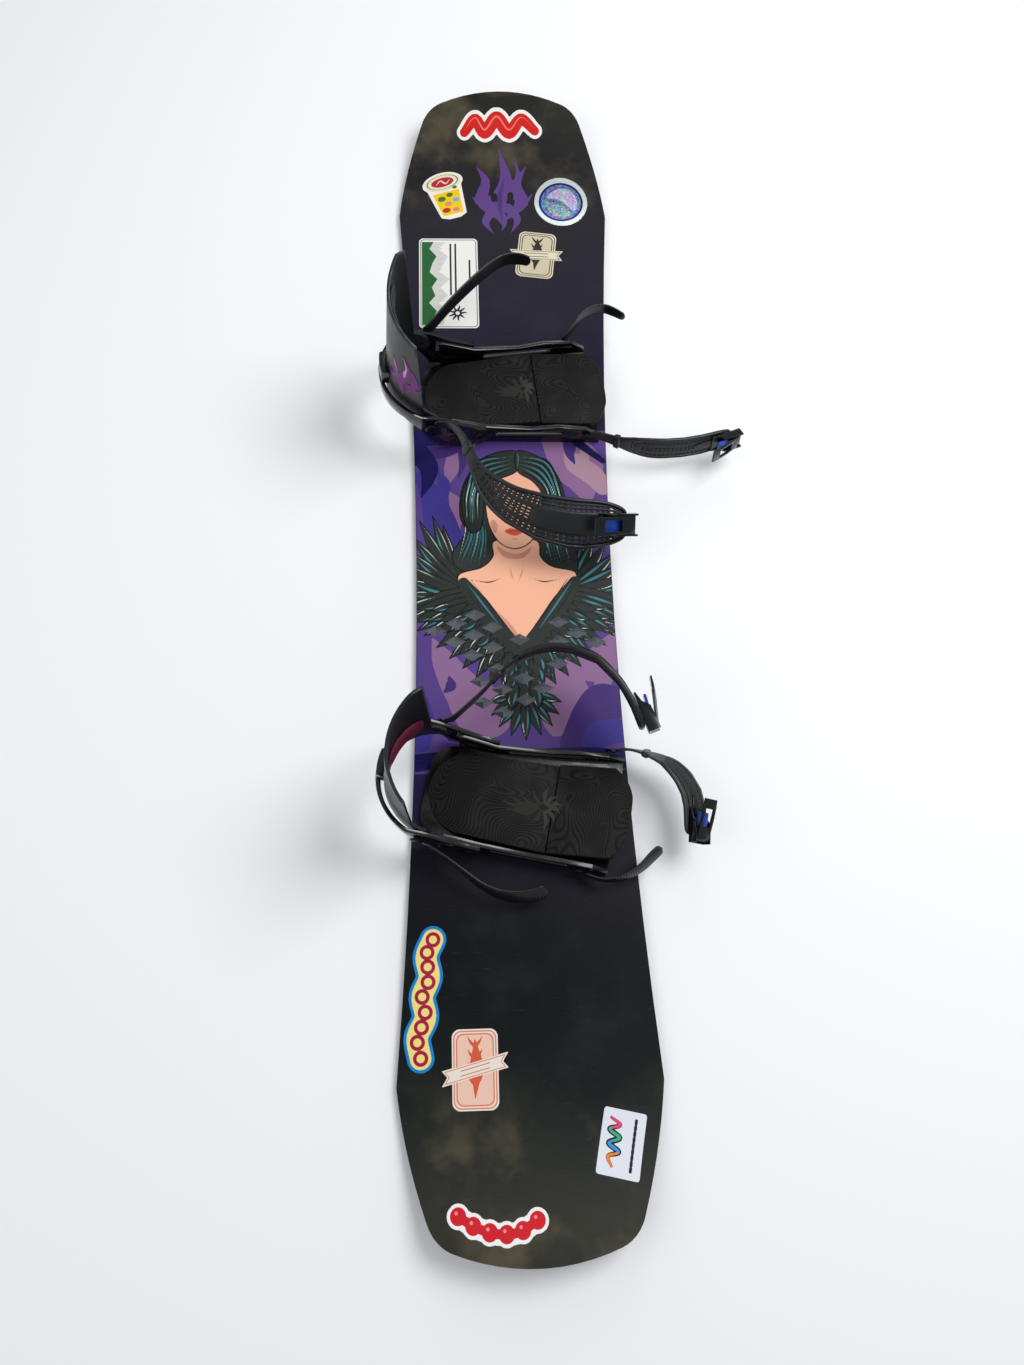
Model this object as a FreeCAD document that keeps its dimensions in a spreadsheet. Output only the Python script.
import FreeCAD, Part
import Sketcher
import math
import os
import re
from FreeCAD import Placement, Rotation, Vector

# Snowboard with a pair of strap bindings, in millimetres.
# +X is the toe side, +Y the nose and +Z up. The origin is on the flat running base, at its centre.
DIMENSIONS = {
    # board outline, seen from above
    "nose_reach": 775, "tail_reach": 766, "contact_half": 590.5, "widest_half": 150, "waist_half": 126.5,
    "end_corner_half": 116, "end_corner_back": 42, "tip_flat_half": 88, "tip_flat_back": 15,
    "corner_radius": 46, "tip_radius": 266, "shoulder_radius": 520, "blank_half": 170,
    # board layers and the curve of the ends
    "base_thick": 1.4, "glass_thick": 0.6, "core_thick": 5.2, "sheet_thick": 0.6, "tip_rise": 45,
    "edge_wide": 2.2, "sidewall_wide": 7,
    # threaded inserts and traction studs
    "insert_pitch": 20, "insert_radius": 5, "thread_radius": 3, "sheet_hole_radius": 3.4, "insert_floor": 0.6,
    "stud_long": 28, "stud_wide": 16, "stud_tall": 5,
    # where the bindings stand, and how far each is turned
    "front_centre": 286, "rear_centre": -279, "front_turn": 6, "rear_turn": -12,
    # baseplate with its side rails
    "plate_heel": 118, "plate_toe": 112, "plate_half": 57, "plate_thick": 9.6, "rail_thick": 5,
    "rail_tall": 56, "flare_start": 40, "flare_out": 18, "plate_corner": 30,
    "window_low": 24, "window_high": 34, "window_reach": 60,
    # mounting disc and its screws
    "disc_radius": 50, "disc_hub_radius": 43.5, "disc_step": 3.6, "disc_thick": 4.2, "disc_play": 0.3,
    "screw_head_radius": 5.5, "screw_head_tall": 1.8, "screw_depth": 5.5,
    # heel hoop and highback
    "pivot_back": 112, "pivot_height": 68, "hoop_half": 67, "hoop_back": 171,
    "hoop_thick": 5, "hoop_front": 40, "hoop_top": 96, "hoop_band": 20, "ear_clear": 12,
    "bolt_radius": 4, "bolt_head_radius": 8.5, "bolt_head_tall": 2.4,
    "shell_half": 61.2, "shell_back": 163.5, "shell_thick": 3.5, "shell_tall": 262, "shell_flare": 8,
    "lean_angle": 5,
    "slot_half": 4, "slot_low": 94, "slot_high": 124, "lean_block_half": 17, "lean_block_tall": 22,
    "lean_block_thick": 11, "lean_travel_gap": 0.4, "running_gap": 0.05,
    # footbed cushions
    "pad_thick": 13, "pad_half": 53, "pad_split": 36, "pad_gap": 0.8,
    "heel_pad_arc": 73.2, "toe_pad_reach": 128,
    # straps, ladders and buckles
    "arm_gap": 0.3, "arm_thick": 3, "cushion_thick": 9, "toe_cushion_thick": 6, "ladder_thick": 3,
    "toe_bolt_height": 30, "toe_bolt_inner": 92, "toe_bolt_outer": 78, "toe_bolt_radius": 3,
    "buckle_half": 14, "cheek_thick": 2.5, "cheek_tall": 14, "buckle_floor": 2.5, "buckle_front": 22,
    "buckle_rear": 26, "lever_pin_reach": 14, "lever_pin_height": 10, "pawl_pin_height": 8, "pawl_pin_back": 3,
    "pin_radius": 1.8, "lever_half": 11, "window_near": 14, "window_far": 38, "lever_window_half": 7,
    "pawl_half": 9, "toe_buckle_ratio": 0.85,
}

# Each band's route in its binding's own axes: reach towards the toe, distance out from the middle line,
# height, half width, and how far its upper edge leans in, in degrees.
ROUTES = {
    "front": {
        "ankle_strap": [(-112, 68.8, 70, 8, 0), (-98, 70, 76, 8, 0), (-85, 77, 80, 8, 5), (-75, 95, 81, 8, 15),
                        (-69, 118, 81, 9, 30), (-62, 142, 80, 11, 42), (-50, 167, 80, 17, 50),
                        (-28, 192, 79, 23, 54), (5, 213, 77, 29, 56), (45, 226, 74, 32, 58),
                        (85, 230, 70, 30, 58), (115, 231, 66, 24, 58)],
        "toe_strap": [(92, 80.6, 30, 7, 0), (105, 85.5, 37, 7, 4), (119, 94, 41, 8, 8), (134, 103, 43, 10, 10),
                      (151, 110, 44, 14, 14), (176, 117, 44, 16, 16), (206, 120, 44, 16, 16),
                      (236, 118, 43, 16, 16), (262, 113, 42, 15, 16), (280, 108, 41, 13, 16)],
        "ankle_ladder": [(-112, 68.8, 70, 9, 0), (-97, 75, 78, 10, -4), (-71, 98, 85, 10, -8),
                         (-45, 121, 88, 10, -10), (-21, 141, 89, 10, -10), (1, 157, 89, 10, -8),
                         (18, 164, 88, 10, -6), (34, 163, 87, 10, -4), (48, 158, 86, 9, 0)],
        "toe_ladder": [(78, 63.8, 30, 7, 0), (88, 70, 40, 8, 0), (101, 82, 46, 8, -4), (113, 93, 50, 8, -6),
                       (127, 99, 52, 8, -6), (143, 99, 52, 8, -6), (156, 93, 51, 8, -4), (170, 83, 50, 7, 0)],
    },
    "rear": {
        "ankle_strap": [(-112, 68.8, 70, 8, 0), (-98, 74, 84, 8, 0), (-84, 88, 95, 8, 0), (-69, 107, 103, 9, 4),
                        (-53, 132, 108, 11, 8), (-34, 154, 110, 16, 10), (-8, 169, 111, 22, 12),
                        (22, 174, 111, 27, 15), (51, 169, 111, 30, 15), (77, 151, 111, 30, 15),
                        (99, 127, 110, 28, 12), (117, 98, 108, 22, 10)],
        "toe_strap": [(92, 80.6, 30, 7, 0), (107, 86, 38, 7, 10), (122, 86.5, 42, 8, 20), (139, 84, 45, 10, 34),
                      (157, 79, 47, 13, 44), (173, 70, 48, 15, 52), (187, 56, 49, 16, 57),
                      (196, 40, 49, 16, 60), (201, 20, 48, 16, 60), (203, -1, 47, 16, 58)],
        "ankle_ladder": [(-112, 68.8, 66, 9, 0), (-96, 74, 56, 10, 0), (-75, 82, 47, 10, 2),
                         (-54, 92, 41, 10, 6), (-32, 103, 38, 10, 14), (-11, 109, 37, 10, 24),
                         (12, 109, 37, 10, 36), (32, 103, 38, 10, 44), (45, 95, 40, 9, 48)],
        "toe_ladder": [(78, 63.8, 30, 7, 0), (92, 69, 30, 8, 0), (110, 70.5, 31, 8, 6), (130, 64, 33, 8, 18),
                       (148, 50, 35, 8, 32), (160, 34, 36, 8, 42), (169, 22, 37, 7, 46)],
    },
}
ARM_STATIONS = {"ankle_strap": 6, "toe_strap": 5}

# Centres of the traction studs on the deck.
STUDS = [(-52, -30), (-76, -41), (-102, -51), (-30, -47), (-54, -57), (-78, -66), (-30, -74), (-57, -84),
         (4, -64), (54, -41), (77, -56), (54, -67), (101, -69), (-47, -119), (-25, -103), (-20, -130),
         (7, -116), (31, -129), (51, -97), (9, -144), (-44, -147), (-20, -160)]

doc = FreeCAD.newDocument("snowboard")
sheet = doc.addObject("Spreadsheet::Sheet", "Dims")
for row, (alias, number) in enumerate(DIMENSIONS.items(), start=1):
    sheet.set(f"A{row}", alias)
    sheet.set(f"B{row}", str(number))
    sheet.setAlias(f"B{row}", alias)
doc.recompute()

DECK = "(base_thick + 2 * glass_thick + core_thick + sheet_thick)"
PLATE_TOP = f"({DECK} + plate_thick)"
nodes = {}


def full(text):
    """The expression with each driving dimension written as a cell of the sheet."""
    return re.sub(r"\b[a-z]+(?:_[a-z]+)+\b", r"Dims.\g<0>", str(text))


def size(text):
    """The number that an expression stands for now."""
    return float(sheet.evalExpression(full(text)))


def keep(item, node):
    """Names the finished object after its node and lists it for export."""
    item.Label = node
    nodes[node] = item
    return item


def body_for(node):
    return keep(doc.addObject("PartDesign::Body", node), node)


def sketch_on(body, plane, height="0"):
    """An empty sketch on one of the body's own origin planes, lifted by height along its normal."""
    sketch = body.newObject("Sketcher::SketchObject", f"{body.Name}_sketch")
    support = next(item for item in body.Origin.OriginFeatures if item.Role == plane)
    sketch.AttachmentSupport = [(support, "")]
    sketch.MapMode = "FlatFace"
    sketch.setExpression(".AttachmentOffset.Base.z", full(height))
    return sketch


def fix_point(sketch, element, end, across, up):
    """Ties one end of a sketch element to a pair of expressions."""
    for kind, text in (("DistanceX", across), ("DistanceY", up)):
        index = sketch.addConstraint(Sketcher.Constraint(kind, -1, 1, element, end, size(text)))
        sketch.setExpression(f"Constraints[{index}]", full(text))


def loop(sketch, corners, bulges=None):
    """A closed outline. bulges gives a side's number a signed radius: positive swells to the right."""
    bulges = bulges or {}
    points = [Vector(size(across), size(up), 0) for across, up in corners]
    sides = []
    for number, start in enumerate(points):
        end = points[(number + 1) % len(points)]
        if number not in bulges:
            sides.append((sketch.addGeometry(Part.LineSegment(start, end)), 1, 2))
            continue
        sign, radius_text = bulges[number]
        radius = size(radius_text)
        chord = end - start
        right = Vector(chord.y, -chord.x, 0).normalize()
        depth = math.sqrt(radius ** 2 - (chord.Length / 2) ** 2)
        centre = (start + end) / 2 - right * sign * depth
        first, last = (start, end) if sign > 0 else (end, start)
        turn = [math.atan2(point.y - centre.y, point.x - centre.x) for point in (first, last)]
        arc = Part.ArcOfCircle(Part.Circle(centre, Vector(0, 0, 1), radius), turn[0], turn[1])
        element = sketch.addGeometry(arc)
        index = sketch.addConstraint(Sketcher.Constraint("Radius", element, radius))
        sketch.setExpression(f"Constraints[{index}]", full(radius_text))
        sides.append((element, 1, 2) if sign > 0 else (element, 2, 1))
    for number, (element, start_end, far_end) in enumerate(sides):
        following, near_end, _ = sides[(number + 1) % len(sides)]
        sketch.addConstraint(Sketcher.Constraint("Coincident", element, far_end, following, near_end))
        fix_point(sketch, element, start_end, *corners[number])


def ring(sketch, across, up, radius):
    """A full circle."""
    circle = Part.Circle(Vector(size(across), size(up), 0), Vector(0, 0, 1), size(radius))
    element = sketch.addGeometry(circle)
    index = sketch.addConstraint(Sketcher.Constraint("Radius", element, size(radius)))
    sketch.setExpression(f"Constraints[{index}]", full(radius))
    fix_point(sketch, element, 3, across, up)


def slot(sketch, left, right, low, high):
    """A slot with fully round ends, its length along the sketch's first axis."""
    radius = f"(({high}) - ({low})) / 2"
    corners = [(left, low), (right, low), (right, high), (left, high)]
    snug = f"1.001 * {radius}"
    loop(sketch, corners, {1: (1, snug), 3: (1, snug)})


def pad(body, sketch, length, symmetric=False):
    feature = body.newObject("PartDesign::Pad", f"{body.Name}_pad")
    feature.Profile = sketch
    feature.SideType = "Symmetric" if symmetric else "One side"
    feature.setExpression("Length", full(length))
    return feature


def cut(body, sketch):
    """Cuts the sketch's regions right through the body, both ways."""
    feature = body.newObject("PartDesign::Pocket", f"{body.Name}_pocket")
    feature.Profile = sketch
    feature.Type = "Length"
    feature.SideType = "Symmetric"
    feature.setExpression("Length", "4 * Dims.nose_reach")
    return feature


def sink(body, sketch, depth, upward=True):
    """Cuts from the sketch's plane to a depth along or against its normal."""
    feature = body.newObject("PartDesign::Pocket", f"{body.Name}_sink")
    feature.Profile = sketch
    feature.Type = "Length"
    feature.Reversed = upward
    feature.setExpression("Length", full(depth))
    return feature


def soften(body, feature, radius, chosen):
    """Rounds the edges of a feature that the test picks."""
    doc.recompute()
    names = [f"Edge{number}" for number, edge in enumerate(feature.Shape.Edges, 1) if chosen(edge)]
    fillet = body.newObject("PartDesign::Fillet", f"{body.Name}_fillet")
    fillet.Base = (feature, names)
    fillet.setExpression("Radius", full(radius))
    return fillet


def heel_corner(edge):
    """Whether an edge is a straight vertical one at the plate's heel end."""
    if not isinstance(edge.Curve, (Part.Line, Part.LineSegment)):
        return False
    way = edge.Vertexes[-1].Point - edge.Vertexes[0].Point
    return abs(way.z) > 0.99 * way.Length and edge.Vertexes[0].Point.x < -size("plate_heel / 2")


# ---------------------------------------------------------------- board

def plan_corners(inset):
    """The board's outline, drawn in by inset, with its rounded sides."""
    end_points = [(f"tip_flat_half - 0.5 * {inset}", f"tip_flat_back + {inset}"),
                  (f"end_corner_half - 0.9 * {inset}", f"end_corner_back + 0.5 * {inset}")]
    corners = [(f"widest_half - {inset}", "-contact_half"), (f"widest_half - {inset}", "contact_half")]
    corners += [(across, f"nose_reach - ({back})") for across, back in reversed(end_points)]
    corners += [(f"-1 * ({across})", f"nose_reach - ({back})") for across, back in end_points]
    corners += [(f"{inset} - widest_half", "contact_half"), (f"{inset} - widest_half", "-contact_half")]
    corners += [(f"-1 * ({across})", f"({back}) - tail_reach") for across, back in reversed(end_points)]
    corners += [(across, f"({back}) - tail_reach") for across, back in end_points]
    sag = "(widest_half - waist_half)"
    sidecut = (-1, f"(contact_half ^ 2 + {sag} ^ 2) / (2 * {sag}) + {inset}")
    shoulder, corner, tip = [(1, f"{name}_radius - {inset}") for name in ("shoulder", "corner", "tip")]
    sides = [sidecut, shoulder, corner, tip, corner, shoulder] * 2
    return corners, dict(enumerate(sides))


def board_layer(node, low, high, inset="0", hollow=None, holes=None, hole_floor="0"):
    """One bonded layer: flat between the contact points, curved up at both ends, cut to the outline."""
    body = body_for(node)
    profile = sketch_on(body, "YZ_Plane")
    bend = "((nose_reach - contact_half) ^ 2 + tip_rise ^ 2) / (2 * tip_rise)"
    run = "1.1 * (nose_reach - contact_half)"
    reach = f"contact_half + {run}"

    def lift(level):
        return f"({bend}) - sqrt((({bend}) - ({level})) ^ 2 - ({run}) ^ 2)"
    corners = [(f"-1 * ({reach})", lift(low)), ("-contact_half", low), ("contact_half", low),
               (reach, lift(low)), (reach, lift(high)), ("contact_half", high), ("-contact_half", high),
               (f"-1 * ({reach})", lift(high))]
    outer = f"({bend}) - ({low})"
    inner = f"({bend}) - ({high})"
    loop(profile, corners, {0: (1, outer), 2: (1, outer), 4: (-1, inner), 6: (-1, inner)})
    pad(body, profile, "2 * blank_half", symmetric=True)
    trim = sketch_on(body, "XY_Plane")
    margin = [("-1.2 * blank_half", "-1.2 * nose_reach"), ("1.2 * blank_half", "-1.2 * nose_reach"),
              ("1.2 * blank_half", "1.2 * nose_reach"), ("-1.2 * blank_half", "1.2 * nose_reach")]
    loop(trim, margin)
    loop(trim, *plan_corners(inset))
    cut(body, trim)
    if hollow:
        middle = sketch_on(body, "XY_Plane")
        loop(middle, *plan_corners(hollow))
        cut(body, middle)
    if holes:
        drilling = sketch_on(body, "XY_Plane", hole_floor)
        for across, along in insert_places("front") + insert_places("rear"):
            ring(drilling, across, along, holes)
        sink(body, drilling, "tip_rise")


def insert_places(foot):
    """Two columns of six threaded inserts, one pitch longer towards the middle of the board."""
    inward = -1 if foot == "front" else 1
    steps = [inward * step for step in (-2, -1, 0, 1, 2, 3)]
    return [(f"{column} * insert_pitch", f"{foot}_centre + {step} * insert_pitch")
            for column in (-1, 1) for step in steps]


def inserts(node, foot):
    """Blind threaded barrels bonded in the core."""
    group = []
    floor = "(base_thick + glass_thick)"
    for across, along in insert_places(foot):
        barrel = doc.addObject("Part::Cylinder", f"{node}_barrel")
        bore = doc.addObject("Part::Cylinder", f"{node}_bore")
        barrel.setExpression("Radius", full("insert_radius"))
        barrel.setExpression("Height", full("core_thick"))
        bore.setExpression("Radius", full("thread_radius"))
        bore.setExpression("Height", full("core_thick"))
        for item, level in ((barrel, floor), (bore, f"{floor} + insert_floor")):
            item.setExpression(".Placement.Base.x", full(across))
            item.setExpression(".Placement.Base.y", full(along))
            item.setExpression(".Placement.Base.z", full(level))
        nut = doc.addObject("Part::Cut", f"{node}_nut")
        nut.Base = barrel
        nut.Tool = bore
        group.append(nut)
    together = doc.addObject("Part::Compound", node)
    together.Links = group
    keep(together, node)


def stud_shape():
    """A low four-sided pyramid on a rhombus."""
    long_half, wide_half, tall = size("stud_long") / 2, size("stud_wide") / 2, size("stud_tall")
    foot = [Vector(long_half * math.cos(turn), wide_half * math.sin(turn), 0)
            for turn in (0, math.pi / 2, math.pi, 1.5 * math.pi)]
    peak = Vector(0, 0, tall)
    faces = [Part.Face(Part.makePolygon([foot[i], foot[(i + 1) % 4], peak, foot[i]])) for i in range(4)]
    faces.append(Part.Face(Part.makePolygon(foot + foot[:1])))
    return Part.makeSolid(Part.Shell(faces))


def board():
    bond = "base_thick + glass_thick"
    core_top = f"{bond} + core_thick"
    board_layer("base_sheet", "0", "base_thick", inset="edge_wide")
    board_layer("steel_edges", "0", "base_thick", hollow="edge_wide")
    board_layer("lower_laminate", "base_thick", bond)
    board_layer("sidewalls", bond, core_top, hollow="sidewall_wide")
    board_layer("wood_core", bond, core_top, inset="sidewall_wide", holes="insert_radius")
    board_layer("upper_laminate", core_top, f"{core_top} + glass_thick", holes="sheet_hole_radius")
    board_layer("topsheet", f"{core_top} + glass_thick", DECK, holes="sheet_hole_radius")
    inserts("insert_nuts_front", "front")
    inserts("insert_nuts_rear", "rear")
    studs = doc.addObject("Part::Feature", "stomp_studs")
    pyramid = stud_shape()
    lift = size(DECK)
    studs.Shape = Part.makeCompound([pyramid.translated(Vector(x, y, lift)) for x, y in STUDS])
    keep(studs, "stomp_studs")


# ---------------------------------------------------------------- bindings

class Binding:
    """One binding. Its own axes: x from heel to toe, y across; the inner side faces the other foot."""

    def __init__(self, foot, inner):
        self.foot = foot
        self.inner = inner
        turn = Rotation(Vector(0, 0, 1), size(f"{foot}_turn"))
        self.frame = Placement(Vector(0, size(f"{foot}_centre"), 0), turn)

    def across(self, text):
        """An expression for a distance towards the inner side, along the binding's own y."""
        return f"{self.inner} * ({text})"

    def flip(self, bulges):
        """Rounded sides of an outline that is drawn the other way round on the mirrored foot."""
        return {side: (sign * self.inner, radius) for side, (sign, radius) in bulges.items()}

    def node(self, name):
        return f"{self.foot}_{name}"

    def body(self, name):
        body = body_for(self.node(name))
        self.stand(body)
        return body

    def stand(self, item):
        """Puts an object on the board at the stance's centre and angle."""
        upward = math.copysign(1, size(f"{self.foot}_turn"))
        item.Placement = Placement(Vector(), Rotation(Vector(0, 0, upward), 1))
        item.setExpression(".Placement.Base.y", full(f"{self.foot}_centre"))
        item.setExpression(".Placement.Rotation.Angle", full(f"{upward} * {self.foot}_turn * 1 deg"))

    def outline(self, sketch, corners, bulges=None):
        loop(sketch, [(reach, self.across(out)) for reach, out in corners], self.flip(bulges or {}))

    # -- base ---------------------------------------------------------

    def baseplate(self):
        """Floor plate, two side rails that the inner one flares from, disc seat and rail windows."""
        body = self.body("baseplate")
        floor = sketch_on(body, "XY_Plane", DECK)
        toe_wide = "plate_half + flare_out"
        self.outline(floor, [("-plate_heel", "-plate_half"), ("plate_toe", "-plate_half"),
                             ("plate_toe", toe_wide), ("-flare_start", "plate_half"),
                             ("-plate_heel", "plate_half")])
        slab = pad(body, floor, "plate_thick")
        rounded = soften(body, slab, "plate_corner", heel_corner)
        body.Tip = rounded
        rails = sketch_on(body, "XY_Plane", DECK)
        outside = "plate_half + rail_thick"
        back = "-plate_heel + plate_corner"
        self.outline(rails, [(back, f"-1 * ({outside})"), ("plate_toe", f"-1 * ({outside})"),
                             ("plate_toe", "-plate_half + 0.01"), (back, "-plate_half + 0.01")])
        self.outline(rails, [(back, "plate_half - 0.01"), ("-flare_start", "plate_half - 0.01"),
                             ("plate_toe", f"{toe_wide} - 0.01"), ("plate_toe", f"{toe_wide} + rail_thick"),
                             ("-flare_start", outside), (back, outside)])
        pad(body, rails, "rail_tall")
        side = sketch_on(body, "XZ_Plane")
        top = f"{DECK} + rail_tall"
        loop(side, [("-plate_heel", f"{top} + 20"), ("-plate_heel", top), ("-pivot_back + 30", top),
                    ("-flare_start", f"{top} - 20"), ("20", f"{top} - 25"), ("56", f"{top} - 20"),
                    ("toe_bolt_inner", f"{top} - 24"), ("plate_toe", f"{top} - 40"),
                    ("plate_toe + 20", f"{top} - 40"), ("plate_toe + 20", f"{top} + 20")])
        slot(side, "-0.4 * window_reach", "window_reach", "window_low", "window_high")
        cut(body, side)
        seat = sketch_on(body, "XY_Plane", f"{DECK} + disc_step")
        ring(seat, "0", "0", "disc_radius + disc_play")
        sink(body, seat, "rail_tall")
        hub = sketch_on(body, "XY_Plane")
        ring(hub, "0", "0", "disc_hub_radius + disc_play")
        cut(body, hub)
        bores = sketch_on(body, "XZ_Plane")
        for reach in ("toe_bolt_inner", "toe_bolt_outer"):
            ring(bores, reach, "toe_bolt_height", "toe_bolt_radius")
        for reach, level in self.hoop_screw_places():
            ring(bores, reach, level, "toe_bolt_radius")
        cut(body, bores)

    def disc(self):
        """Stepped disc that clamps the baseplate to the inserts, square to the board."""
        body = body_for(self.node("mounting_disc"))
        body.setExpression(".Placement.Base.y", full(f"{self.foot}_centre"))
        hub = sketch_on(body, "XY_Plane", DECK)
        ring(hub, "0", "0", "disc_hub_radius")
        pad(body, hub, "disc_step + disc_thick")
        flange = sketch_on(body, "XY_Plane", f"{DECK} + disc_step")
        ring(flange, "0", "0", "disc_radius")
        pad(body, flange, "disc_thick")
        bores = sketch_on(body, "XY_Plane")
        for side in (-1, 1):
            for end in (-1, 1):
                ring(bores, f"{side} * insert_pitch", f"{end} * insert_pitch", "thread_radius + disc_play")
        cut(body, bores)

    def disc_screws(self):
        """Four low-headed screws through the disc into the inserts."""
        screws = []
        top = f"{DECK} + disc_step + disc_thick"
        for side in (-1, 1):
            for end in (-1, 1):
                shank = doc.addObject("Part::Cylinder", self.node("screw_shank"))
                head = doc.addObject("Part::Cylinder", self.node("screw_head"))
                shank.setExpression("Radius", full("thread_radius"))
                shank.setExpression("Height", full("disc_step + disc_thick + screw_depth"))
                head.setExpression("Radius", full("screw_head_radius"))
                head.setExpression("Height", full("screw_head_tall"))
                for item, level in ((shank, f"{DECK} - screw_depth"), (head, top)):
                    item.setExpression(".Placement.Base.x", full(f"{side} * insert_pitch"))
                    item.setExpression(".Placement.Base.y", full(f"{self.foot}_centre + {end} * insert_pitch"))
                    item.setExpression(".Placement.Base.z", full(level))
                screw = doc.addObject("Part::Fuse", self.node("screw"))
                screw.Base = shank
                screw.Tool = head
                screws.append(screw)
        together = doc.addObject("Part::Compound", self.node("disc_screws"))
        together.Links = screws
        keep(together, self.node("disc_screws"))

    def footbed(self):
        """Heel and toe cushions, split across the foot."""
        heel = self.body("heel_pad")
        floor = sketch_on(heel, "XY_Plane", PLATE_TOP)
        heel_end = "0.92 * pad_half"
        self.outline(floor, [("-heel_pad_arc", f"-{heel_end}"), ("pad_split - pad_gap", "-pad_half"),
                             ("pad_split - pad_gap", "pad_half"), ("-heel_pad_arc", heel_end)],
                     {3: (1, f"1.02 * {heel_end}")})
        pad(heel, floor, "pad_thick")
        self.clear_screws(heel)
        toe = self.body("toe_pad")
        floor = sketch_on(toe, "XY_Plane", PLATE_TOP)
        corners = [("pad_split", "-pad_half"), ("0.86 * toe_pad_reach", "-0.86 * pad_half"),
                   ("toe_pad_reach", "-0.2 * pad_half"), ("toe_pad_reach", "0.6 * pad_half"),
                   ("0.8 * toe_pad_reach", "1.2 * pad_half"), ("pad_split", "1.04 * pad_half")]
        self.outline(floor, corners,
                     {1: (1, "0.9 * pad_half"), 2: (1, "4 * pad_half"), 3: (1, "0.95 * pad_half")})
        pad(toe, floor, "pad_thick")

    def clear_screws(self, body):
        """Leaves room under the heel cushion for the heads of the disc screws."""
        under = sketch_on(body, "XY_Plane", PLATE_TOP)
        ring(under, "0", "0", "disc_hub_radius")
        sink(body, under, "screw_head_tall + disc_play")

    # -- heel ---------------------------------------------------------

    def hoop_screw_places(self):
        base = f"({DECK} + 0.42 * rail_tall)"
        return [("-hoop_front - 10", base), ("-pivot_back + 28", base)]

    def hoop(self):
        """Flat band round the heel with a forked arm down to each rail."""
        body = self.body("heel_hoop")
        plan = sketch_on(body, "XY_Plane", PLATE_TOP)
        bend = "(pivot_back + ear_clear)"
        depth = f"(hoop_back - {bend})"
        inside = "(hoop_half - hoop_thick)"
        inner_depth = f"({depth} - hoop_thick)"
        outer_arc = f"(hoop_half ^ 2 + {depth} ^ 2) / (2 * {depth})"
        inner_arc = f"({inside} ^ 2 + {inner_depth} ^ 2) / (2 * {inner_depth})"
        loop(plan, [("-hoop_front", "hoop_half"), (f"-1 * {bend}", "hoop_half"), (f"-1 * {bend}", "-hoop_half"),
                    ("-hoop_front", "-hoop_half"), ("-hoop_front", f"-1 * {inside}"),
                    (f"-1 * {bend}", f"-1 * {inside}"), (f"-1 * {bend}", inside), ("-hoop_front", inside)],
             {1: (1, outer_arc), 5: (-1, inner_arc)})
        pad(body, plan, "hoop_top")
        side = sketch_on(body, "XZ_Plane")
        low = "hoop_top - hoop_band"
        loop(side, [("-hoop_back - 20", "hoop_top"), ("-pivot_back - 36", "hoop_top"),
                    ("-pivot_back - 10", "hoop_top - 8"), ("-pivot_back + 14", "hoop_top - 16"),
                    ("-pivot_back + 40", "hoop_top - 34"), ("-hoop_front - 14", "hoop_top - 42"),
                    ("-hoop_front + 10", "hoop_top - 52"), ("-hoop_front + 10", "2 * hoop_top"),
                    ("-hoop_back - 20", "2 * hoop_top")])
        cut(body, side)
        under = sketch_on(body, "XZ_Plane")
        loop(under, [("-hoop_back - 20", low), ("-pivot_back - 34", low), ("-pivot_back - 14", f"{low} - 14"),
                     ("-pivot_back", f"{low} - 34"), ("-pivot_back + 8", f"{low} - 50"),
                     ("-pivot_back + 12", "0"), ("-hoop_back - 20", "0")])
        loop(under, [("-pivot_back + 19", f"{DECK} + 0.62 * rail_tall"), ("-pivot_back + 44", "hoop_top - 45"),
                     ("-pivot_back + 21", "hoop_top - 30")])
        ring(under, "-pivot_back", "pivot_height", "bolt_radius")
        for reach, level in self.hoop_screw_places():
            ring(under, reach, level, "toe_bolt_radius")
        cut(body, under)

    def side_bolt(self, name, reach, level, radius, head_radius, inside, outside):
        """A bolt across the binding: its shank from inside to outside, and a low domed head beyond."""
        shank = doc.addObject("Part::Cylinder", self.node(f"{name}_shank"))
        head = doc.addObject("Part::Cone", self.node(f"{name}_head"))
        shank.setExpression("Radius", full(radius))
        shank.setExpression("Height", full(f"abs(({outside}) - ({inside})) + 0.01"))
        head.setExpression("Radius1", full(head_radius))
        head.setExpression("Radius2", full(f"0.75 * {head_radius}"))
        head.setExpression("Height", full("bolt_head_tall"))
        bolt = doc.addObject("Part::Fuse", self.node(name))
        bolt.Base = shank
        bolt.Tool = head
        for item, start in ((shank, inside), (head, outside)):
            way = 1 if size(outside) > 0 else -1
            item.Placement = Placement(Vector(), Rotation(Vector(0, 0, 1), Vector(0, way, 0)))
            item.setExpression(".Placement.Base.x", full(reach))
            item.setExpression(".Placement.Base.y", full(start))
            item.setExpression(".Placement.Base.z", full(level))
        return bolt

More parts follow.
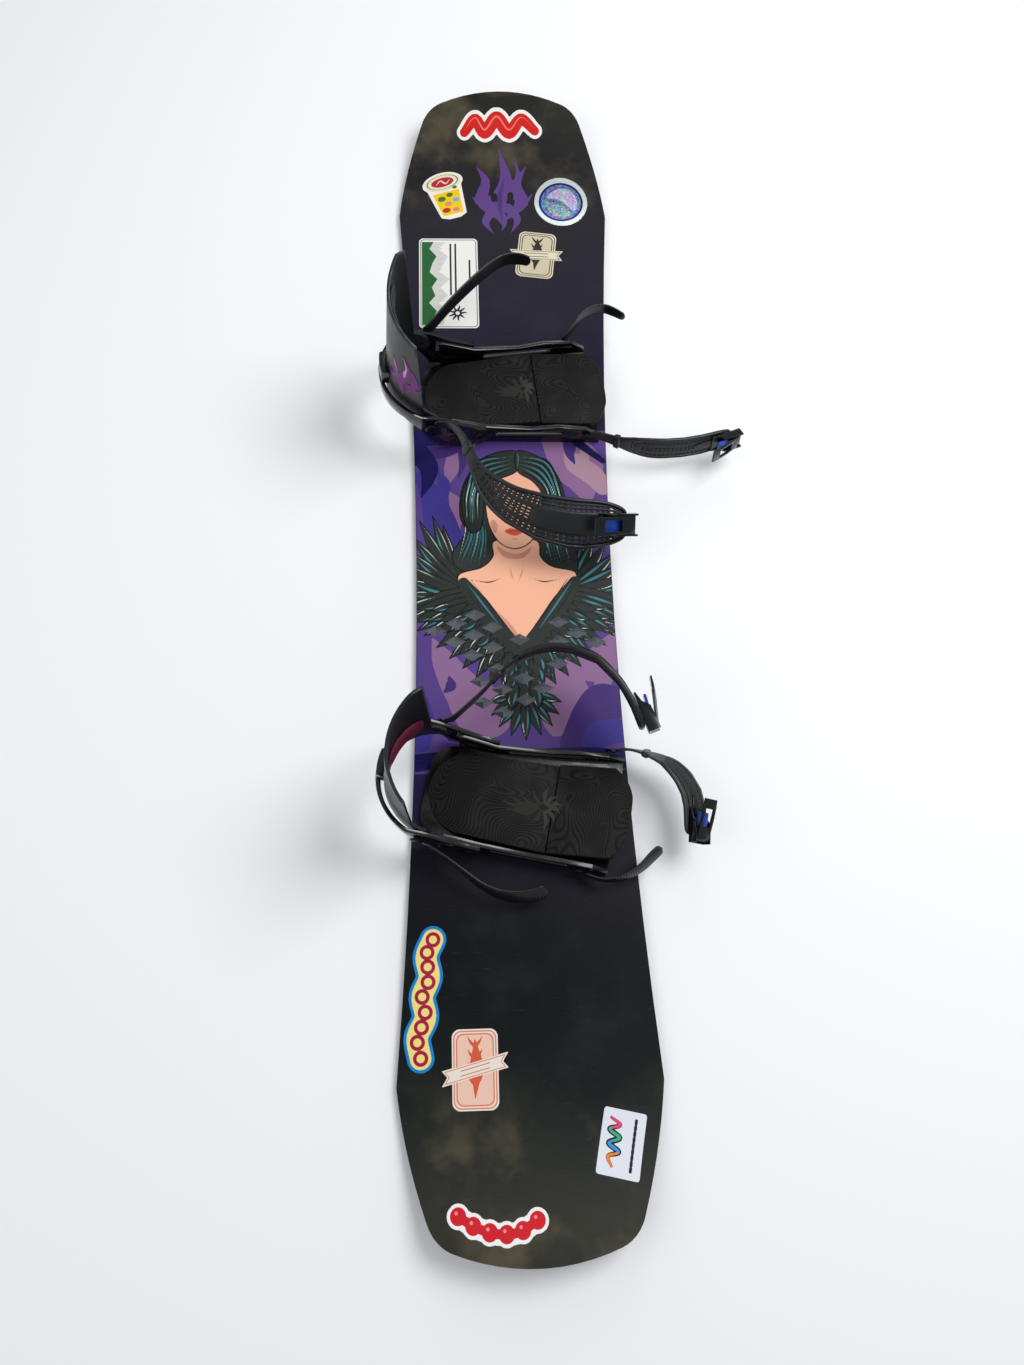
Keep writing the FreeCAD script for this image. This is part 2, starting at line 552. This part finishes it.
    def bolts(self):
        """Heel bolts, toe bolts and hoop screws, each a group of separate solids in one node."""
        wall = "hoop_half"
        clear = "arm_gap + arm_thick + arm_gap"
        groups = {"heel_bolts": [], "toe_bolts": [], "hoop_screws": []}
        for side in (1, -1):
            hand = side * self.inner
            groups["heel_bolts"].append(self.side_bolt(
                "heel_bolt", "-pivot_back", "pivot_height", "bolt_radius", "bolt_head_radius",
                f"{hand} * (shell_half - shell_thick)", f"{hand} * ({wall} + {clear})"))
            reach = "toe_bolt_inner" if side > 0 else "toe_bolt_outer"
            flare = "flare_out * (toe_bolt_inner + flare_start) / (plate_toe + flare_start)"
            rail = f"plate_half + {flare}" if side > 0 else "plate_half"
            stand_off = "1.3" if side > 0 else "0"
            groups["toe_bolts"].append(self.side_bolt(
                "toe_bolt", reach, "toe_bolt_height", "toe_bolt_radius", "0.75 * bolt_head_radius",
                f"{hand} * ({rail} + 1)", f"{hand} * ({rail} + rail_thick + {clear} + {stand_off})"))
            for place in self.hoop_screw_places():
                groups["hoop_screws"].append(self.side_bolt(
                    "hoop_screw", *place, "toe_bolt_radius", "0.7 * bolt_head_radius",
                    f"{hand} * (plate_half + 0.5)", f"{hand} * {wall}"))
        for name, members in groups.items():
            together = doc.addObject("Part::Compound", self.node(name))
            together.Links = members
            self.stand(together)
            keep(together, self.node(name))

    def leaned(self, item):
        """Stands an upright part with the highback's forward lean about the heel bolts."""
        pivot = Vector(-size("pivot_back"), 0, size("pivot_height"))
        lean = Rotation(Vector(0, 1, 0), size("lean_angle"))
        item.Placement = self.frame.multiply(Placement(pivot - lean.multVec(pivot), lean))

    def shell_outline(self, sketch, half, back, front):
        """Half-round plan of the highback between two arcs, open towards the toe."""
        outer_depth = f"({back} - pivot_back)"
        outer_arc = f"({half} ^ 2 + {outer_depth} ^ 2) / (2 * {outer_depth})"
        thin = "shell_thick"
        inner_half = f"({half} - {thin})"
        inner_depth = f"({outer_depth} - {thin})"
        inner_arc = f"({inner_half} ^ 2 + {inner_depth} ^ 2) / (2 * {inner_depth})"
        loop(sketch, [(front, half), ("-pivot_back", half), ("-pivot_back", f"-1 * {half}"),
                      (front, f"-1 * {half}"), (front, f"-1 * {inner_half}"),
                      ("-pivot_back", f"-1 * {inner_half}"), ("-pivot_back", inner_half), (front, inner_half)],
             {1: (1, outer_arc), 5: (-1, inner_arc)})

    def highback(self):
        """Curved back support: a lean slot low down and a top edge that is taller towards the nose."""
        body = body_for(self.node("highback"))
        sections = []
        for level, half, back in (("pivot_height - 12", "shell_half", "shell_back"),
                                  ("hoop_top + 4", "shell_half", "shell_back"),
                                  ("shell_tall", "(shell_half + shell_flare)", "(shell_back + 1)")):
            section = sketch_on(body, "XY_Plane", level)
            self.shell_outline(section, half, back, "12 - pivot_back")
            sections.append(section)
        shell = body.newObject("PartDesign::AdditiveLoft", f"{body.Name}_loft")
        shell.Profile = sections[0]
        shell.Sections = sections[1:]
        shell.Ruled = True
        side = sketch_on(body, "XZ_Plane")
        loop(side, [("60 - pivot_back", "shell_tall + 20"), ("-pivot_back - 30", "shell_tall + 20"),
                    ("-pivot_back - 10", "pivot_height + 26"), ("-pivot_back + 8", "pivot_height + 12"),
                    ("-pivot_back + 12", "pivot_height"), ("-pivot_back + 8", "pivot_height - 9"),
                    ("-pivot_back - 8", "pivot_height - 9"), ("-pivot_back - 34", "pivot_height + 2"),
                    ("-shell_back - 10", "pivot_height + 2"), ("-shell_back - 10", "pivot_height - 30"),
                    ("60 - pivot_back", "pivot_height - 30")])
        cut(body, side)
        face = sketch_on(body, "YZ_Plane")
        low_side, corner = ("46", "34") if self.foot == "front" else ("62", "8")
        loop(face, [("-shell_half - 20", f"shell_tall - {low_side}"),
                    ("-0.86 * shell_half", f"shell_tall - {low_side}"),
                    ("-0.55 * shell_half", "shell_tall - 36"), ("0", "shell_tall - 26"),
                    ("0.45 * shell_half", "shell_tall - 13"), ("0.68 * shell_half", "shell_tall - 4"),
                    ("0.82 * shell_half", f"shell_tall - 2 - 0.2 * {corner}"),
                    ("shell_half + 20", f"shell_tall - 1.8 * {corner}"),
                    ("shell_half + 20", "shell_tall + 30"), ("-shell_half - 20", "shell_tall + 30")])
        loop(face, [("-slot_half", "slot_low"), ("slot_half", "slot_low"), ("slot_half", "slot_high"),
                    ("-slot_half", "slot_high")])
        cut(body, face)
        bores = sketch_on(body, "XZ_Plane")
        ring(bores, "-pivot_back", "pivot_height", "bolt_radius + running_gap")
        cut(body, bores)
        self.leaned(body)

    def lean_adjuster(self):
        """Block on the back of the highback that rests on the hoop, with a stem through the lean slot."""
        body = body_for(self.node("lean_adjuster"))
        low = "slot_low - 1.5"
        near = "shell_back + lean_travel_gap"
        depth = f"({near} - pivot_back)"
        wide = "shell_half"
        reach_arc = f"({wide} ^ 2 + {depth} ^ 2) / (2 * {depth})"
        bow = f"({reach_arc} - sqrt(({reach_arc}) ^ 2 - lean_block_half ^ 2))"
        plan = sketch_on(body, "XY_Plane", low)
        far = f"{near} + lean_block_thick"
        bowed = f"-1 * ({near}) + {bow}"
        loop(plan, [(bowed, "-lean_block_half"), (bowed, "lean_block_half"),
                    (f"-1 * ({far}) + 4", "lean_block_half - 2"), (f"-1 * ({far}) + 4", "2 - lean_block_half")],
             {0: (-1, reach_arc), 2: (1, "4 * lean_block_half")})
        pad(body, plan, "lean_block_tall")
        stem = sketch_on(body, "XY_Plane", "slot_low + disc_play")
        loop(stem, [(f"-1 * ({near}) - 2", "-slot_half + disc_play"),
                    ("-shell_back + shell_thick + 3", "-slot_half + disc_play"),
                    ("-shell_back + shell_thick + 3", "slot_half - disc_play"),
                    (f"-1 * ({near}) - 2", "slot_half - disc_play")])
        pad(body, stem, "slot_half * 2")
        self.leaned(body)

    # -- straps -------------------------------------------------------

    def stations(self, name, outward):
        """Centre, way along, width and outward direction of a band at each point of its route."""
        route = ROUTES[self.foot][name]
        points = [Vector(reach, outward * out, level) for reach, out, level, _, _ in route]
        result = []
        for number, (_, _, _, half, tilt) in enumerate(route):
            before = points[max(number - 1, 0)]
            after = points[min(number + 1, len(points) - 1)]
            along = (after - before).normalize()
            rise = (Vector(0, 0, 1) - along * along.z).normalize()
            outer = rise.cross(along) * outward
            angle = math.radians(tilt)
            wide = rise * math.cos(angle) - outer * math.sin(angle)
            proud = outer * math.cos(angle) + rise * math.sin(angle)
            result.append((points[number], along, wide, proud, half))
        return result

    def band(self, node, stations, thick):
        """A flat strip lofted through its rectangular sections."""
        sections = []
        for centre, _, wide, proud, half in stations:
            lift, cross = proud * (thick / 2), wide * half
            square = [centre + cross * side + lift * face for side, face in ((1, 1), (-1, 1), (-1, -1), (1, -1))]
            sections.append(Part.makePolygon(square + square[:1]))
        strip = doc.addObject("Part::Feature", self.node(node))
        strip.Shape = Part.makeLoft(sections, True, True)
        strip.Placement = self.frame
        return strip

    def hung_band(self, node, stations, thick, reach, level, radius):
        """A band with an eye at its first point, round a bolt across the binding."""
        strip = self.band(f"{node}_strip", stations, thick)
        bore = doc.addObject("Part::Cylinder", self.node(f"{node}_eye"))
        bore.setExpression("Radius", full(f"{radius} + running_gap"))
        bore.setExpression("Height", full("6 * arm_thick"))
        middle = stations[0][0].y
        turn = Rotation(Vector(0, 0, 1), Vector(0, 1, 0))
        spot = Vector(size(reach), middle - size("3 * arm_thick"), size(level))
        bore.Placement = self.frame.multiply(Placement(spot, turn))
        eye = doc.addObject("Part::Cut", self.node(node))
        eye.Base = strip
        eye.Tool = bore
        keep(eye, self.node(node))

    def rounded_root(self, stations, spread):
        """Starts a band behind its bolt, flat against the wall, so the eye has metal all round."""
        centre, _, _, _, _ = stations[0]
        outward = 1 if centre.y > 0 else -1
        root = []
        for reach in (-spread, 1.05 * spread):
            spot = Vector(centre.x + reach, centre.y, centre.z)
            root.append((spot, Vector(1, 0, 0), Vector(0, 0, 1), Vector(0, outward, 0), spread))
        return root + stations[1:]

    def straps(self):
        """Arms, padded straps and ladders, with the bolts' eyes."""
        heel = ("-pivot_back", "pivot_height", "bolt_radius")
        toe = ("toe_bolt_height", "toe_bolt_radius")
        for name, outward, thick, place in (
                ("ankle_strap", self.inner, "cushion_thick", heel),
                ("toe_strap", self.inner, "toe_cushion_thick", ("toe_bolt_inner", *toe)),
                ("ankle_ladder", -self.inner, None, heel),
                ("toe_ladder", -self.inner, None, ("toe_bolt_outer", *toe))):
            stations = self.stations(name, outward)
            spread = size(f"2.2 * {place[2]}")
            level = size(place[1])
            centre = stations[0][0]
            stations[0] = (Vector(centre.x, centre.y, level),) + stations[0][1:]
            if thick is None:
                self.hung_band(name, self.rounded_root(stations, spread), size("ladder_thick"), *place)
                continue
            split = ARM_STATIONS[name]
            self.hung_band(name.replace("strap", "arm"), self.rounded_root(stations[:split], spread),
                           size("arm_thick"), *place)
            padded = self.band(name, stations[split - 1:], size(thick))
            keep(padded, self.node(name))
            self.buckle(name.replace("strap", ""), stations[-2:], size(thick))

    def buckle(self, prefix, ends, thick):
        """Ratchet buckle on the outer face at the strap's free end."""
        ratio = "toe_buckle_ratio" if prefix.startswith("toe") else "1"
        centre = (ends[0][0] * 0.35 + ends[1][0] * 0.65) + ends[1][3] * (thick / 2)
        along, proud = ends[1][1], ends[1][3]
        turn = Rotation(along, proud.cross(along), proud, "XZY")
        spot = self.frame.multiply(Placement(centre, turn))
        for name, make in (("buckle", self.buckle_frame), ("lever", self.lever), ("pawl", self.pawl)):
            body = body_for(self.node(f"{prefix}{name}"))
            make(body, ratio)
            body.Placement = spot

    def buckle_frame(self, body, ratio):
        """Channel with two cheeks and the pins for the lever and the pawl."""
        channel = sketch_on(body, "XZ_Plane")
        floor, front, rear = "arm_gap", "buckle_front", "buckle_rear"
        loop(channel, [(f"{ratio} * -{rear}", floor), (f"{ratio} * {front}", floor),
                       (f"{ratio} * {front}", f"{ratio} * (lever_pin_height + 4)"),
                       (f"{ratio} * ({front} - 6)", f"{ratio} * cheek_tall"),
                       (f"{ratio} * -6", f"{ratio} * (cheek_tall - 1)"),
                       (f"{ratio} * -14", f"{ratio} * (buckle_floor + 3)"),
                       (f"{ratio} * -{rear}", f"{ratio} * buckle_floor")])
        pad(body, channel, f"{ratio} * 2 * buckle_half", symmetric=True)
        hollow = sketch_on(body, "YZ_Plane")
        inside = f"{ratio} * (buckle_half - cheek_thick)"
        loop(hollow, [(f"-1 * {inside}", f"{ratio} * buckle_floor"), (inside, f"{ratio} * buckle_floor"),
                      (inside, f"{ratio} * 2 * cheek_tall"), (f"-1 * {inside}", f"{ratio} * 2 * cheek_tall")])
        cut(body, hollow)
        for reach, level in (("lever_pin_reach", "lever_pin_height"), ("-pawl_pin_back", "pawl_pin_height")):
            pin = sketch_on(body, "XZ_Plane")
            ring(pin, f"{ratio} * {reach}", f"{ratio} * {level}", f"{ratio} * pin_radius")
            pad(body, pin, f"{ratio} * 2 * buckle_half", symmetric=True)

    def lever(self, body, ratio):
        """Drive lever: hub on the front pin, with a long handle rising back along the strap."""
        side = sketch_on(body, "XZ_Plane")
        across, up = "lever_pin_reach", "lever_pin_height"
        shape = [(2, -3.6), (5, -1), (5, 2), (1, 4.2), (-22, 11.5), (-40, 16), (-51, 17.4), (-52, 15.4),
                 (-40, 13), (-22, 8), (-6, 2.4), (-3.6, -1)]
        loop(side, [(f"{ratio} * ({across} + {x})", f"{ratio} * ({up} + {z})") for x, z in shape])
        pad(body, side, f"{ratio} * 2 * lever_half", symmetric=True)
        bore = sketch_on(body, "XZ_Plane")
        ring(bore, f"{ratio} * {across}", f"{ratio} * {up}", f"{ratio} * pin_radius + running_gap")
        cut(body, bore)
        opening = sketch_on(body, "XY_Plane")
        near, far = (f"{ratio} * (lever_pin_reach - window_{end})" for end in ("near", "far"))
        half = f"{ratio} * lever_window_half"
        loop(opening, [(far, f"-1 * {half}"), (near, f"-1 * {half}"), (near, half), (far, half)])
        cut(body, opening)

    def pawl(self, body, ratio):
        """Sprung release pawl between the cheeks, under the lever."""
        side = sketch_on(body, "XZ_Plane")
        across, up = "-pawl_pin_back", "pawl_pin_height"
        shape = [(3, -1.5), (3, 2.4), (0, 3.3), (-8, 4.4), (-17, 5.4), (-18, 2.4), (-8, 1.2), (-3, -2.6),
                 (0, -3.4)]
        loop(side, [(f"{ratio} * ({across} + {x})", f"{ratio} * ({up} + {z})") for x, z in shape])
        pad(body, side, f"{ratio} * 2 * pawl_half", symmetric=True)
        bore = sketch_on(body, "XZ_Plane")
        ring(bore, f"{ratio} * {across}", f"{ratio} * {up}", f"{ratio} * pin_radius + running_gap")
        cut(body, bore)

    def build(self):
        self.baseplate()
        self.disc()
        self.disc_screws()
        self.footbed()
        self.hoop()
        self.bolts()
        self.highback()
        self.lean_adjuster()
        self.straps()


def finish():
    """Checks every object and shape, then writes one file for each node."""
    doc.recompute()
    broken = [item.Name for item in doc.Objects if {"Invalid", "Error"} & set(item.State)]
    if broken:
        raise RuntimeError(f"objects that failed: {broken}")
    for node, item in nodes.items():
        if item.Shape.isNull() or not item.Shape.isValid() or not item.Shape.Solids:
            raise RuntimeError(f"no sound solid for {node}")
    os.makedirs("parts", exist_ok=True)
    for node, item in nodes.items():
        item.Shape.exportStep(os.path.join("parts", f"{node}.step"))


board()
for foot, inner in (("front", -1), ("rear", 1)):
    Binding(foot, inner).build()
finish()
